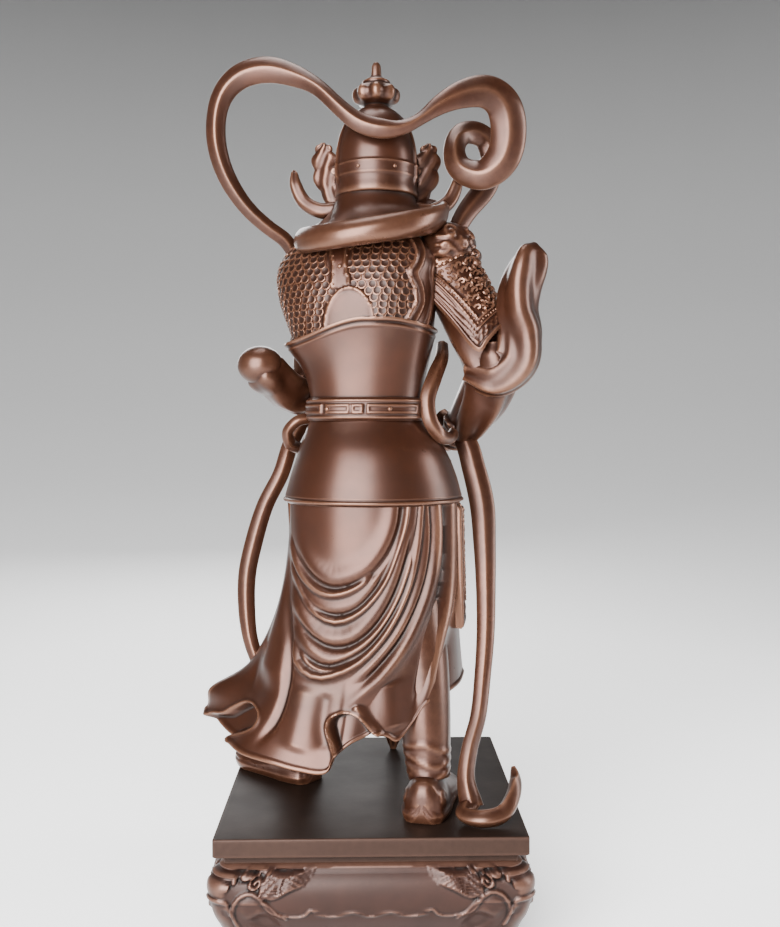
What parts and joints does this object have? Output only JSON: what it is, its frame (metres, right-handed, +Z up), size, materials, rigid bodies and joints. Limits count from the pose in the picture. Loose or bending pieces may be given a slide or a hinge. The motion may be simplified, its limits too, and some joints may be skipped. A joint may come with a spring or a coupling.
{
  "type": "bodhisattva statue",
  "caption": "Cast bronze guardian bodhisattva in armour with a flying scarf, leaning on a vajra club, on a square slab and a low carved stand.",
  "frame": {"origin": "centre of the underside, on the surface that the stand's four feet rest on", "axes": "+Z up, the figure faces -Y, +X is towards its left hand"},
  "size_m": [0.2365, 0.206, 0.6083],
  "materials": {
    "figure_bronze": "dark red-brown patina, satin, rubbed warmer on the high places",
    "slab_bronze": "dark brown patina, satin, faintly brushed",
    "stand_bronze": "dark brown patina, satin, carved relief rubbed lighter on its edges"
  },
  "bodies": {
    "root": {"figure": "figure_bronze", "scarf_loop": "figure_bronze", "vajra_club": "figure_bronze", "base_slab": "slab_bronze", "carved_stand": "stand_bronze"}
  },
  "joints": []
}
